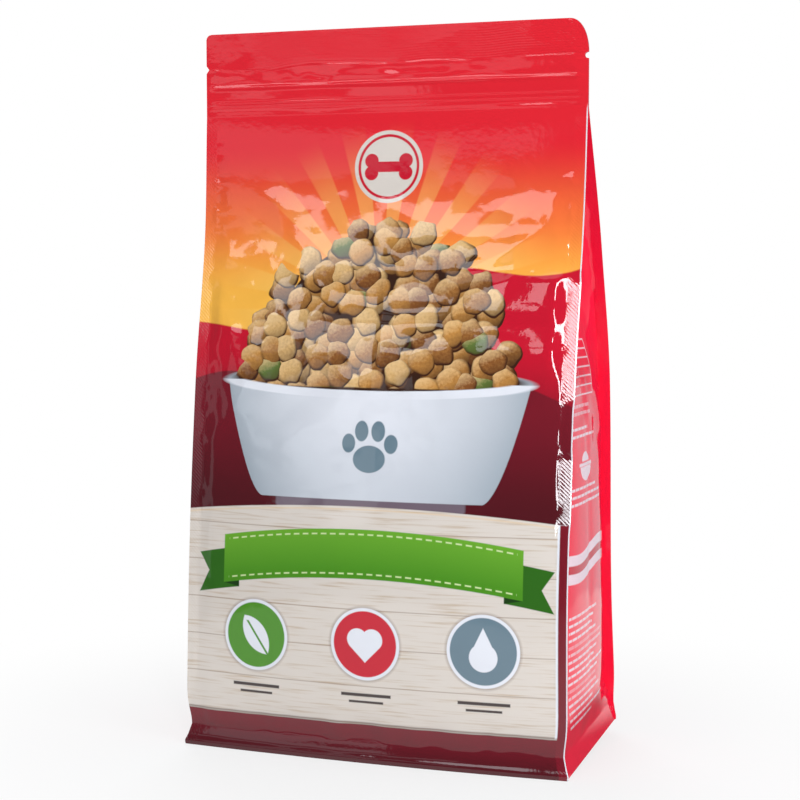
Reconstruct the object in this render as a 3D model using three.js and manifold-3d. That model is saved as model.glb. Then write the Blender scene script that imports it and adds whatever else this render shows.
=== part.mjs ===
// A standing flat-bottom pouch of dry pet food, heat-sealed shut.
// Front, back, two tucked side gussets and a base panel are one welded film skin over its fill, so it is one solid.
// Millimetres, +Z up, front panel towards -Y, origin on the floor in the middle of the base panel.

import * as THREE from "three";
import { mergeVertices } from "three/addons/utils/BufferGeometryUtils.js";
import Module from "manifold-3d";

// Overall sizes
const WIDTH = 201; // seam edge to seam edge, across the flat header
const HEIGHT = 362; // floor to the top edge
const BASE_DEPTH = 100; // front seam to back seam at the floor
const FILM = 0.2; // one ply of laminate

// Fill: the contents keep the lower part square, and the film runs together above them
const WAIST_HEIGHT = 95;
const WAIST_DEPTH = 88.5;
const WAIST_LEAN = -3.25; // middle of the depth, behind (+) or in front of (-) the base's middle
const SHOULDER_HEIGHT = 185; // top of the contents
const SHOULDER_DEPTH = 74;
const SHOULDER_LEAN = -1.5;
const SLOPE_DEPTH = 39.5; // half way up the empty part
const SLOPE_LEAN = -6.3;
const BASE_BULGE = 3.5; // how far the front and back panels swell past their seams
const FILL_BULGE = 9;
const SHOULDER_BULGE = 6.5;
const SEAM_DRAW = 1.2; // how far the swollen panels draw each seam inwards

// Seals
const EDGE_SEAL = 6; // width of the four upright fin seals
const BASE_SEAL = 10; // height of the fin seal round the base
const BASE_PINCH = 2; // how far the skin draws in above the base seal
const BASE_TURN = 9; // radius at which the base panel turns up to its seal
const SKIRT_WALL = 0.6; // the base fin with its weld bead
const BASE_LIFT = 6; // the back run of the base seal stands this far off the floor
const CORNER_WELD = 34; // how far up the gusset's bottom corners are welded to the seams

// Flat header above the gusset fold
const HEADER = 42; // top edge down to the end of the gusset fold
const HEADER_LEAN = -19.5;
const HEADER_PLIES = 6; // front, back and the tucked gussets, with the zip flanges
const HEADER_LAP = 0.15; // how far the header's weld stands proud of the skin below it
const HEADER_OVERLAP = 1; // how far the weld runs down over the skin
const TOP_LEFT_RADIUS = 3;
const TOP_RIGHT_ROUND = 9; // width of the right corner, which runs down to just above its notch
const NOTCH_DROP = 17.8; // top edge down to the tear notches
const V_NOTCH_HEIGHT = 4;
const V_NOTCH_DEPTH = 1.5;
const ROUND_NOTCH_RADIUS = 1.4;
const ROUND_NOTCH_DEPTH = 1.8;
const NOTCH_LAND = 0.4; // straight edge left above the round notch

// Press-to-close zip, seen as two ridges through the film
const ZIP_DROP = 28; // top edge down to the upper ridge
const ZIP_PITCH = 9;
const ZIP_RIDGE_WIDTH = 2.4;
const ZIP_RIDGE_PROUD = 0.9;

// Gusset: it swells flush with its seams over the contents, and tucks in above them
const GUSSET_SHY = 0.4; // how far the swollen gusset stays inside the seams' edges
const SLOPE_TUCK = 30; // depth of the fold half way up the empty part
const HEADER_TUCK = 40; // depth of the fold at the header

// Facets
const PANEL_STEPS = 16;
const GUSSET_STEPS = 10;
const RINGS = 34;
const ARC_STEPS = 6;

const fin = 2 * FILM;
const headerThickness = HEADER_PLIES * FILM;
const headerBase = HEIGHT - HEADER;
const slopeHeight = (SHOULDER_HEIGHT + headerBase) / 2;
const seamRoot = WIDTH / 2 - EDGE_SEAL;
const gussetSwell = EDGE_SEAL - GUSSET_SHY;

// Monotone cubic through stations [height, value]
function smoothThrough(stations) {
  const slope = (i) => (stations[i + 1][1] - stations[i][1]) / (stations[i + 1][0] - stations[i][0]);
  const tangents = stations.map((_, i) => {
    if (i === 0) return slope(0);
    if (i === stations.length - 1) return slope(i - 1);
    const [before, after] = [slope(i - 1), slope(i)];
    return before * after <= 0 ? 0 : (2 * before * after) / (before + after);
  });
  return (z) => {
    let i = 0;
    while (i < stations.length - 2 && z > stations[i + 1][0]) i += 1;
    const [[z0, v0], [z1, v1]] = [stations[i], stations[i + 1]];
    const span = z1 - z0;
    const t = THREE.MathUtils.clamp((z - z0) / span, 0, 1);
    const back = 1 - t;
    return (
      v0 * back * back * (1 + 2 * t) +
      v1 * t * t * (1 + 2 * back) +
      span * t * back * (tangents[i] * back - tangents[i + 1] * t)
    );
  };
}

const depthAt = smoothThrough([
  [0, BASE_DEPTH],
  [WAIST_HEIGHT, WAIST_DEPTH],
  [SHOULDER_HEIGHT, SHOULDER_DEPTH],
  [slopeHeight, SLOPE_DEPTH],
  [headerBase, headerThickness],
]);
const leanAt = smoothThrough([
  [0, 0],
  [WAIST_HEIGHT, WAIST_LEAN],
  [SHOULDER_HEIGHT, SHOULDER_LEAN],
  [slopeHeight, SLOPE_LEAN],
  [headerBase, HEADER_LEAN],
]);
const bulgeAt = smoothThrough([
  [0, BASE_BULGE],
  [WAIST_HEIGHT, FILL_BULGE],
  [SHOULDER_HEIGHT, SHOULDER_BULGE],
  [headerBase, 0],
]);
const swellAt = smoothThrough([
  [0, gussetSwell],
  [WAIST_HEIGHT, gussetSwell],
  [SHOULDER_HEIGHT, 0],
  [slopeHeight, -SLOPE_TUCK],
  [headerBase, -HEADER_TUCK],
]);

const drawAt = smoothThrough([
  [0, 0],
  [WAIST_HEIGHT, SEAM_DRAW],
  [SHOULDER_HEIGHT, SEAM_DRAW],
  [headerBase, 0],
]);

// Rise of the base seal towards the back: full at the seal, none at the flat base and above the corner welds
function liftAt(y) {
  return BASE_LIFT * THREE.MathUtils.clamp(y / BASE_DEPTH + 0.5, 0, 1);
}
function liftShare(z) {
  const start = THREE.MathUtils.smoothstep(z, 0, BASE_TURN);
  return start * (1 - THREE.MathUtils.smoothstep(z, BASE_SEAL + BASE_TURN, BASE_SEAL + 2 * CORNER_WELD));
}

// How far the skin lies inside its full outline near the floor: the base turn, then the pinch above the seal
function insetAt(z) {
  const pinch = BASE_PINCH * Math.exp(-(((z - BASE_SEAL) / BASE_SEAL) ** 2));
  if (z >= BASE_TURN) return pinch;
  const rise = BASE_TURN - z;
  return Math.max(pinch, BASE_TURN - Math.sqrt(BASE_TURN ** 2 - rise ** 2));
}

// The left half mirrors the right one: half a front panel, both fins, the gusset and half a back panel.
function rightSide(z) {
  const inset = insetAt(z);
  const open = THREE.MathUtils.smoothstep(z, BASE_SEAL, BASE_SEAL + CORNER_WELD);
  const front = leanAt(z) - depthAt(z) / 2 + inset;
  const back = leanAt(z) + depthAt(z) / 2 - inset;
  const tip = WIDTH / 2 - drawAt(z) - inset;
  const weld = (1 - open) * gussetSwell;
  const root = seamRoot + weld - drawAt(z) - inset;
  const bulge = bulgeAt(z);
  const swell = swellAt(z) - weld;
  const gap = Math.max(back - front - 2 * fin, FILM);
  const ply = (back - front - gap) / 2;
  const points = [];
  for (let i = 0; i <= PANEL_STEPS / 2; i += 1) {
    const s = (2 * i) / PANEL_STEPS;
    points.push([root * s, front - bulge * (1 - s * s)]);
  }
  points.push([tip, front], [tip, front + ply]);
  for (let i = 0; i <= GUSSET_STEPS; i += 1) {
    const s = (2 * i) / GUSSET_STEPS - 1;
    const fold = swell < 0 ? 1 - Math.abs(s) : 1 - s ** 4;
    points.push([root + swell * fold, front + ply + (gap * i) / GUSSET_STEPS]);
  }
  points.push([tip, back - ply], [tip, back]);
  for (let i = PANEL_STEPS / 2; i >= 0; i -= 1) {
    const s = (2 * i) / PANEL_STEPS;
    points.push([root * s, back + bulge * (1 - s * s)]);
  }
  return points;
}

function skinRing(z) {
  const right = rightSide(z);
  const left = right
    .slice(1, -1)
    .reverse()
    .map(([x, y]) => [-x, y]);
  const share = liftShare(z);
  return [...right, ...left].map(([x, y]) => new THREE.Vector3(x, y, z + share * liftAt(y)));
}

// The base fin's outline: it flares to the full seam outline at the floor, and its top runs under the skin.
function skirtRing(z, wall) {
  const inset = BASE_PINCH * (z / BASE_SEAL) ** 1.5 + wall;
  const tip = WIDTH / 2 - inset;
  const half = depthAt(z) / 2 - inset;
  const lean = leanAt(z);
  const edge = [];
  for (let i = 0; i <= PANEL_STEPS; i += 1) {
    const s = (2 * i) / PANEL_STEPS - 1;
    edge.push([tip * s, half + BASE_BULGE * (1 - s * s)]);
  }
  const front = edge.map(([x, y]) => [x, lean - y]);
  const back = edge.map(([x, y]) => [-x, lean + y]);
  return [...front, ...back].map(([x, y]) => new THREE.Vector3(x, y, z + liftAt(y)));
}

// Closed solid through rings of equal point counts, counter-clockwise from above
function loft(rings) {
  const count = rings[0].length;
  const positions = rings.flat().flatMap((p) => p.toArray());
  const index = [];
  for (let r = 0; r < rings.length - 1; r += 1) {
    for (let i = 0; i < count; i += 1) {
      const [a, b] = [r * count + i, r * count + ((i + 1) % count)];
      index.push(a, b, b + count, a, b + count, a + count);
    }
  }
  const cap = (ring) => THREE.ShapeUtils.triangulateShape(ring.map((p) => new THREE.Vector2(p.x, p.y)), []);
  const top = (rings.length - 1) * count;
  for (const [a, b, c] of cap(rings[0])) index.push(a, c, b);
  for (const [a, b, c] of cap(rings.at(-1))) index.push(top + a, top + b, top + c);
  const geometry = new THREE.BufferGeometry();
  geometry.setAttribute("position", new THREE.Float32BufferAttribute(positions, 3));
  geometry.setIndex(index);
  return geometry;
}

function skin() {
  const heights = [0, 1, 2.5, 4.5, 7, BASE_TURN, BASE_TURN + 4, BASE_TURN + 9];
  const start = heights.at(-1);
  for (let i = 1; i <= RINGS; i += 1) heights.push(start + ((headerBase - start) * i) / RINGS);
  return loft(heights.map(skinRing));
}

function skirt() {
  const levels = [0, 0.33, 0.66, 1, 1.3].map((share) => share * BASE_SEAL);
  const outer = loft(levels.map((z) => skirtRing(z, 0)));
  const below = skirtRing(0, SKIRT_WALL).map((p) => p.setZ(p.z - 1));
  const above = skirtRing(levels.at(-1), SKIRT_WALL).map((p) => p.setZ(p.z + 1));
  const inner = loft([below, ...levels.slice(1, -1).map((z) => skirtRing(z, SKIRT_WALL)), above]);
  return [outer, inner];
}

// Header outline seen from the front, with both corners rounded and a tear notch in each edge
function header() {
  const right = WIDTH / 2;
  const low = headerBase - HEADER_OVERLAP;
  const notch = HEIGHT - NOTCH_DROP;
  const mouth = Math.sqrt(ROUND_NOTCH_RADIUS ** 2 - (ROUND_NOTCH_DEPTH - ROUND_NOTCH_RADIUS) ** 2);
  const centre = right - (ROUND_NOTCH_DEPTH - ROUND_NOTCH_RADIUS);
  const swing = Math.atan2(mouth, right - centre);
  const fall = NOTCH_DROP - ROUND_NOTCH_RADIUS - NOTCH_LAND;
  const outline = new THREE.Shape();
  outline.moveTo(-right, low);
  outline.lineTo(right, low);
  outline.lineTo(right, notch - mouth);
  outline.absarc(centre, notch, ROUND_NOTCH_RADIUS, -swing, swing, true);
  outline.lineTo(right, HEIGHT - fall);
  outline.absellipse(right - TOP_RIGHT_ROUND, HEIGHT - fall, TOP_RIGHT_ROUND, fall, 0, Math.PI / 2, false, 0);
  outline.lineTo(-right + TOP_LEFT_RADIUS, HEIGHT);
  outline.absarc(-right + TOP_LEFT_RADIUS, HEIGHT - TOP_LEFT_RADIUS, TOP_LEFT_RADIUS, Math.PI / 2, Math.PI);
  outline.lineTo(-right, notch + V_NOTCH_HEIGHT / 2);
  outline.lineTo(-right + V_NOTCH_DEPTH, notch);
  outline.lineTo(-right, notch - V_NOTCH_HEIGHT / 2);
  outline.closePath();
  const depth = headerThickness + 2 * HEADER_LAP;
  const plate = new THREE.ExtrudeGeometry(outline, { depth, bevelEnabled: false, curveSegments: ARC_STEPS });
  plate.rotateX(Math.PI / 2);
  return plate.translate(0, HEADER_LEAN + depth / 2, 0);
}

// One zip ridge: a low round bead across the header between the edge seals
function zipRidge(drop) {
  const half = ZIP_RIDGE_WIDTH / 2;
  const proud = headerThickness / 2 + ZIP_RIDGE_PROUD;
  const bead = new THREE.Shape();
  bead.absellipse(0, 0, half, proud, 0, 2 * Math.PI, false, 0);
  const ridge = new THREE.ExtrudeGeometry(bead, {
    depth: 2 * seamRoot,
    bevelEnabled: false,
    curveSegments: 2 * ARC_STEPS,
  });
  ridge.translate(0, 0, -seamRoot).rotateY(Math.PI / 2);
  return ridge.translate(0, HEADER_LEAN, HEIGHT - drop);
}

const wasm = await Module();
wasm.setup();

function solid(geometry) {
  geometry.deleteAttribute("normal");
  geometry.deleteAttribute("uv");
  const merged = mergeVertices(geometry, 1e-4);
  const mesh = new wasm.Mesh({
    numProp: 3,
    vertProperties: new Float32Array(merged.attributes.position.array),
    triVerts: new Uint32Array(merged.index.array),
  });
  return new wasm.Manifold(mesh);
}

function geometryOf(manifold) {
  const mesh = manifold.getMesh();
  const geometry = new THREE.BufferGeometry();
  geometry.setAttribute("position", new THREE.BufferAttribute(mesh.vertProperties, 3));
  geometry.setIndex(new THREE.BufferAttribute(mesh.triVerts, 1));
  geometry.computeVertexNormals();
  return geometry;
}

const [skirtOuter, skirtInner] = skirt();
const baseFin = solid(skirtOuter).subtract(solid(skirtInner));
const pouch = solid(skin())
  .add(baseFin)
  .add(solid(header()))
  .add(solid(zipRidge(ZIP_DROP)))
  .add(solid(zipRidge(ZIP_DROP + ZIP_PITCH)));

const printedFilm = new THREE.MeshStandardMaterial({ color: 0xc4161f, roughness: 0.25, metalness: 0 });
const foodBag = new THREE.Mesh(geometryOf(pouch), printedFilm);
foodBag.name = "food_bag";

const bag = new THREE.Group();
bag.add(foodBag);

export default bag;
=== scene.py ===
# %% [markdown]
# # A flat-bottom pouch of pet food
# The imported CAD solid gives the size, the place and the physics. This lesson gives it its looks: a finely
# meshed film skin with its seals and creases, a printed front, and the plain light of a product picture.

import math

import bpy
import numpy as np
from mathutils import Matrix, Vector


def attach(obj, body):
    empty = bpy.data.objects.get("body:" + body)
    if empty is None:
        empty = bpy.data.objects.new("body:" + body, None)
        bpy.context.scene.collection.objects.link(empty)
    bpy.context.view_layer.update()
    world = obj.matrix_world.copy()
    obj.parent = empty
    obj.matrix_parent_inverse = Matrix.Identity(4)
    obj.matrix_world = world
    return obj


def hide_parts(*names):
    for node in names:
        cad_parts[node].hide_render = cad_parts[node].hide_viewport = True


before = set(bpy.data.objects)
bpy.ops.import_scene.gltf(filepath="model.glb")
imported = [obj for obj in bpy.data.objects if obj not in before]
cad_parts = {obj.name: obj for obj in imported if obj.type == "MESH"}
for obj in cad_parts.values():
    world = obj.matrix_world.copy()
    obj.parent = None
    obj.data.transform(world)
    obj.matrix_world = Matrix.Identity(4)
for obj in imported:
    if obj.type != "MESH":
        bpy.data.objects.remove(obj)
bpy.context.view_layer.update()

# %% [markdown]
# ## The pouch's sizes
# The skin is lofted in millimetres, with the same stations as the CAD solid: a square foot, a waist, a
# shoulder where the contents end, and a slope that runs together into the flat header. A monotone curve
# through the stations never overshoots, so the film does not wave between them.

# %% Stations
HEIGHT, WIDTH, FILM = 362.0, 201.0, 0.2
HEADER_BASE, HEADER_LEAN, HEADER_THICK = 320.0, -19.5, 1.5
EDGE_SEAL, GUSSET_SWELL = 6.0, 5.6
BASE_SEAL, BASE_PINCH, BASE_TURN, BASE_LIFT = 10.0, 2.0, 9.0, 6.0
FIN = 2 * FILM
PANEL_HALF, GUSSET_HALF = WIDTH / 2 - EDGE_SEAL, 50.0


def through(*stations):
    """Monotone cubic through (height, value) stations, for arrays of heights."""
    zs, vs = np.array(stations, float).T
    slopes = np.diff(vs) / np.diff(zs)
    inner = np.where(slopes[:-1] * slopes[1:] <= 0, 0, 2 * slopes[:-1] * slopes[1:])
    sums = slopes[:-1] + slopes[1:]
    inner = np.divide(inner, sums, out=np.zeros_like(inner), where=np.abs(sums) > 1e-9)
    tangents = np.concatenate([slopes[:1], inner, slopes[-1:]])

    def value(z):
        z = np.clip(np.asarray(z, float), zs[0], zs[-1])
        i = np.clip(np.searchsorted(zs, z) - 1, 0, len(slopes) - 1)
        span = zs[i + 1] - zs[i]
        t = (z - zs[i]) / span
        b = 1 - t
        bend = span * t * b * (tangents[i] * b - tangents[i + 1] * t)
        return vs[i] * b * b * (1 + 2 * t) + vs[i + 1] * t * t * (1 + 2 * b) + bend

    return value


WAIST, SHOULDER, SLOPE = 95.0, 185.0, 252.5
depth_at = through((0, 100), (WAIST, 88.5), (SHOULDER, 74), (SLOPE, 39.5), (HEADER_BASE, HEADER_THICK))
lean_at = through((0, 0), (WAIST, -3.25), (SHOULDER, -1.5), (SLOPE, -6.3), (HEADER_BASE, HEADER_LEAN))
bulge_at = through((0, 3.5), (WAIST, 9), (SHOULDER, 6.5), (288, 0.5), (HEADER_BASE, 0))
swell_at = through((0, GUSSET_SWELL), (WAIST, GUSSET_SWELL), (SHOULDER, 0), (SLOPE, -30), (HEADER_BASE, -40))
draw_at = through((0, 0), (WAIST, 1.2), (SHOULDER, 1.2), (HEADER_BASE, 0))
print("depth at the waist", float(depth_at(WAIST)))


# %% [markdown]
# ## Rows and columns
# The skin is one sheet on a grid: columns run round the pouch and rows run from the middle of the base, over
# the base seal and up to the top edge. Rows are closest where the form is finest: on the ribbed top seal, at
# the zip and round the base seal, whose lower edge is rolled into a bead. Separate panels could be joined
# afterwards, but one grid keeps every panel joined to the next, so no seam can open.

# %% Rows of the grid
def smoothstep(x, low, high):
    t = np.clip((np.asarray(x, float) - low) / (high - low), 0, 1)
    return t * t * (3 - 2 * t)


def hump(x, middle, half):
    """A smooth rise of 1 at the middle, gone at about twice the half width."""
    return np.exp(-(((x - middle) / half) ** 2))


def steps(start, stop, pitch):
    count = max(1, round(abs(stop - start) / pitch))
    return list(np.linspace(start, stop, count + 1)[1:])


SEAL_LOW = HEIGHT - 17.5
turn = [(BASE_TURN - BASE_TURN * math.sin(a), BASE_TURN - BASE_TURN * math.cos(a))
        for a in np.linspace(0, 0.85, 6)]
rows = [("turn", z, inset) for inset, z in turn]
rows += [("fin", z, 0.6) for z in (7.5, 4.0, 0.0)]
rows += [("fin", z, 0.0) for z in [0.0] + steps(0, BASE_SEAL, 0.5)]
heights = steps(BASE_SEAL, 30, 1.0) + steps(30, 300, 1.65) + steps(300, HEADER_BASE - 0.4, 1.3)
heights += [HEADER_BASE] + steps(HEADER_BASE, 340, 0.55) + steps(340, SEAL_LOW - 3, 1.0)
heights += steps(SEAL_LOW - 3, HEIGHT, 0.3)
rows += [("skin", z, None) for z in heights]
row_kind = np.array([kind for kind, _, _ in rows])
row_z = np.array([z for _, z, _ in rows])
outer_row = np.array([kind == "skin" or extra == 0.0 for kind, _, extra in rows])
print(len(rows), "rows")

# %% How far each row draws in
bead = hump(row_z, 2, 2.2)
fin_inset = BASE_PINCH * (row_z / BASE_SEAL) ** 1.5 - 0.7 * bead
row_inset = np.where(row_z < HEADER_BASE - 1, BASE_PINCH * hump(row_z, BASE_SEAL, BASE_SEAL), 0)
for i, (kind, z, extra) in enumerate(rows):
    if kind == "turn":
        row_inset[i] = extra
    elif kind == "fin":
        row_inset[i] = fin_inset[i] + extra
print("rows draw in by up to", round(float(row_inset.max()), 2), "mm")

# %% Columns of the grid
FRONT_COLS, BACK_COLS, GUSSET_COLS, FIN_COLS = 128, 64, 30, 4


def strip(panel, cols):
    """One panel's columns as (panel, root-to-root share, fin share), its two fins included."""
    fins = [k / FIN_COLS for k in range(FIN_COLS, 0, -1)]
    left = [(panel, -1.0, f) for f in fins]
    share = np.linspace(-1, 1, cols + 1)
    middle = [(panel, s, 0.0) for s in 1.25 * share - 0.25 * share**3]
    right = [(panel, 1.0, f) for f in reversed(fins)]
    return left + middle + right


columns = strip("front", FRONT_COLS) + strip("right", GUSSET_COLS)
columns += strip("back", BACK_COLS) + strip("left", GUSSET_COLS)
col_panel = np.array([panel for panel, _, _ in columns])
col_s = np.array([s for _, s, _ in columns])
col_f = np.array([f for _, _, f in columns])
on_front, on_right, on_back = ((col_panel == name)[None, :] for name in ("front", "right", "back"))
on_gusset = ~(on_front | on_back)
print(len(columns), "columns,", len(rows) * len(columns), "points")


# %% [markdown]
# ## The smooth skin
# Each row is one section of the pouch. Front and back panels swell between their seams, the four fin seals
# stay flat, and the gusset's section turns from a swollen side into a deep V above the shoulder. In the
# header the gusset is pressed flat, so its columns close up on the edge. A simulation could blow up a flat
# bag, but sections keep to the CAD solid's stations exactly.

# %% Outline of the header
TOP_LEFT, TOP_RIGHT = (3.0, 3.0), (9.0, 16.0)
NOTCH_Z = HEIGHT - 17.8


def edge_cut(z, side):
    """How far the header's cut edge lies inside the full width, by height."""
    wide, tall = TOP_RIGHT if side > 0 else TOP_LEFT
    rise = np.clip((z - HEIGHT + tall) / tall, 0, 1)
    corner = wide * (1 - np.sqrt(1 - rise**2))
    off = np.abs(z - NOTCH_Z)
    vee = np.clip(1.5 * (1 - off / 2.0), 0, None)
    bite = np.sqrt(np.clip(1.4**2 - off**2, 0, None)) + np.where(off < 1.4, 0.4, 0)
    return np.maximum(corner, bite if side > 0 else vee)


print("notches are", [round(float(edge_cut(NOTCH_Z, side)), 2) for side in (-1, 1)], "mm deep")


# %% Sections
def sections():
    """Points of the smooth skin and millimetres across its flat film, both rows by columns."""
    z, inset = row_z[:, None], row_inset[:, None]
    fin_row = (row_kind == "fin")[:, None]
    header = z >= HEADER_BASE - 1e-6
    half = depth_at(z) / 2
    s, f = col_s[None, :], col_f[None, :]
    behind = np.select([on_front, on_back, on_right], [0 * s, 0 * s + 1, (1 + s) / 2], (1 - s) / 2)
    straight = np.where((row_kind == "turn")[:, None], 1.0, 0.35)
    front = lean_at(z) - half + inset
    back = lean_at(z) + half - inset * straight
    weld = (1 - smoothstep(z, BASE_SEAL, BASE_SEAL + 34 - 18 * behind)) * GUSSET_SWELL
    tip = WIDTH / 2 - draw_at(z) - inset * (1 - behind + behind * straight)
    flare = np.where(on_gusset & fin_row, BASE_PINCH * z / BASE_SEAL - fin_inset[:, None], 0)
    root = WIDTH / 2 - draw_at(z) - inset - flare - EDGE_SEAL + weld
    swell = np.where(header, 0, swell_at(z) - weld)
    ply = np.where(header, 0.05, FIN)
    across = s * root + np.sign(s) * f * (tip - root)
    crown = bulge_at(z) * (1 - s * s) * (f == 0)
    fold = np.where(swell < 0, 1 - np.abs(s), 1 - np.abs(s) ** (2 + 2 * smoothstep(z, 12, 70)))
    side_x = np.where(f > 0, root + f * (tip - root), root + swell * fold)
    side_x = np.where(header, tip, side_x)
    side_y = (front + ply) + (back - front - 2 * ply) * (s + 1) / 2
    x = np.select([on_front, on_right, on_back], [across, side_x, -across], -side_x)
    left_y = front + back - side_y
    y = np.select([on_front, on_right, on_back], [front - crown, side_y, back + crown], left_y)
    film = np.where(on_gusset, s * GUSSET_HALF + np.sign(s) * f * EDGE_SEAL, across / tip * (WIDTH / 2))
    for hand in (-1, 1):
        cut = np.where(header, edge_cut(z, hand), 0)
        x = x - hand * cut * smoothstep(hand * x, tip - 14, tip) * (hand * x > 0)
    lift = BASE_LIFT * np.clip(y / 100 + 0.5, 0, 1)
    fade = smoothstep(z, 0, BASE_TURN) * (1 - smoothstep(z, BASE_SEAL + BASE_TURN, BASE_SEAL + 68))
    return np.stack([x, y, z + lift * np.where(fin_row, 1.0, fade)], -1), film


skin, film_u = sections()
film_v = np.broadcast_to(row_z[:, None], film_u.shape)
print("smooth skin spans", np.round(np.ptp(skin.reshape(-1, 3), axis=0), 1), "mm")


# %% [markdown]
# ## Creases
# Stiff laminate does not hang in soft folds. It breaks into flat facets that meet at sharp ridges, and it
# puckers beside a seal, where the weld has shrunk it. Cloth simulation gives soft folds, so the facets come
# from the distance to scattered centres: its square, added to a swollen panel, flattens each cell and leaves
# a crease where two cells meet.

# %% Noise on the film
def lattice(u, v, cell_u, cell_v, seed):
    """Smooth noise in -1..1 over film millimetres."""
    a, b = u / cell_u, v / cell_v
    i, j = np.floor(a).astype(int), np.floor(b).astype(int)
    fa, fb = a - i, b - j
    fa, fb = fa**3 * (fa * (fa * 6 - 15) + 10), fb**3 * (fb * (fb * 6 - 15) + 10)

    def corner(p, q):
        h = np.sin(p * 127.1 + q * 311.7 + seed * 74.7) * 43758.5453
        return (h - np.floor(h)) * 2 - 1

    low = corner(i, j) * (1 - fa) + corner(i + 1, j) * fa
    high = corner(i, j + 1) * (1 - fa) + corner(i + 1, j + 1) * fa
    return low * (1 - fb) + high * fb


def facets(u, v, pitch_u, pitch_v, seed):
    """Creased relief: the least squared distance to scattered centres, in pitch units, 0..1."""
    pick = np.random.default_rng(seed)
    us = np.arange(u.min() - pitch_u, u.max() + 2 * pitch_u, pitch_u)
    vs = np.arange(v.min() - pitch_v, v.max() + 2 * pitch_v, pitch_v)
    gu, gv = np.meshgrid(us, vs)
    cu = gu + pick.uniform(-0.55, 0.55, gu.shape) * pitch_u
    cv = gv + pick.uniform(-0.55, 0.55, gv.shape) * pitch_v
    weight = pick.uniform(0, 0.12, gu.shape)
    best = np.full(u.shape, 9.0)
    for a, b, w in zip(cu.ravel(), cv.ravel(), weight.ravel()):
        best = np.minimum(best, ((u - a) / pitch_u) ** 2 + ((v - b) / pitch_v) ** 2 + w)
    return np.clip(best, 0, 1)


patch = lattice(*np.mgrid[0:90:90j, 0:90:90j], 9, 9, 1)
print("noise on a patch runs from", round(float(patch.min()), 2), "to", round(float(patch.max()), 2))

# %% [markdown]
# ## Long creases
# Where a filled pouch has been gripped and set down, a few straight creases cross the shoulder, mostly on
# the slant. Each one is placed by its two ends. A ridge with hollow flanks turns the light at its crest, so
# the reflection of a lamp stops there along a sharp line.

# %% Ends of the long creases
CREASES = [
    # from u, v   to u, v     rise, flank
    (-52, 233, -35, 277, 0.75, 6.0),
    (-66, 236, -42, 203, 0.65, 6.0),
    (-12, 268, 22, 238, 0.70, 6.0),
    (-30, 231, 12, 227, 0.55, 6.0),
    (46, 234, 96, 273, 0.80, 6.0),
    (72, 280, 66, 222, 0.70, 5.0),
    (-61, 286, -58, 256, 0.55, 4.0),
    (8, 188, 50, 210, 0.55, 6.0),
    (-40, 186, -24, 214, 0.55, 6.0),
    (34, 262, 44, 226, 0.60, 5.0),
    (-84, 224, -70, 182, 0.60, 5.0),
    (58, 214, 86, 190, 0.55, 5.0),
]


def long_creases(u, v):
    """Straight ridges: a sharp crest with hollow flanks, fading at both ends."""
    total = np.zeros(u.shape)
    for u0, v0, u1, v1, rise, flank in CREASES:
        du, dv = u1 - u0, v1 - v0
        length = math.hypot(du, dv)
        along = ((u - u0) * du + (v - v0) * dv) / length**2
        across = ((u - u0) * dv - (v - v0) * du) / length
        total = total + rise * np.clip(5 * along * (1 - along), 0, 1) * np.exp(-np.abs(across) / flank)
    return total


print(len(CREASES), "long creases")


# %% [markdown]
# ## Relief of the body
# The body's relief is a sum: broad and middling facets, crinkles in patches over the shoulder, the long
# creases, puckers and a rolled edge beside each seam, ripples above the base seal, and on the gussets a
# star of folds where the sides tuck in. Each part fades out where the film is held. All of it is real
# displacement, because a bump would leave the outline and the mesh smooth.

# %% Facets and creases
from_seam = np.clip(np.where(on_gusset, GUSSET_HALF, PANEL_HALF) - np.abs(film_u), 0, None)


def creased(u, v):
    """Facets, crinkles and long creases, in millimetres."""
    settle = smoothstep(from_seam, 0, 9) * smoothstep(v, 12, 30) * smoothstep(v, 308, 236)
    shift = np.select([on_front, on_right, on_back], [0, 400, 900], 1400)
    a = u + 7 * lattice(u, v, 46, 60, 3) + 2.2 * lattice(u, v, 13, 15, 13) + shift
    b = v + 9 * lattice(u, v, 50, 44, 5) + 2.2 * lattice(u, v, 14, 12, 15)
    over_fill = smoothstep(v, 120, SHOULDER)
    crinkled = over_fill * smoothstep(lattice(a, b, 40, 36, 71), -0.35, 0.35)
    d = facets(a + 0.55 * b, b - 0.45 * a, 50, 46, 11) * (0.7 + 1.1 * over_fill)
    d = d + facets(a - 0.5 * b, b + 0.3 * a, 25, 29, 23) * (0.06 + 1.1 * over_fill)
    d = d + 0.55 * crinkled * facets(a + 0.4 * b, b - 0.3 * a, 11, 14, 37)
    gripped = smoothstep(from_seam, 0, 6) * on_front
    return settle * d + gripped * long_creases((u + a) / 2, (v + b) / 2)


d_creased = creased(film_u, film_v)
print("facets and creases rise up to", round(float(d_creased.max()), 2), "mm")


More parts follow.
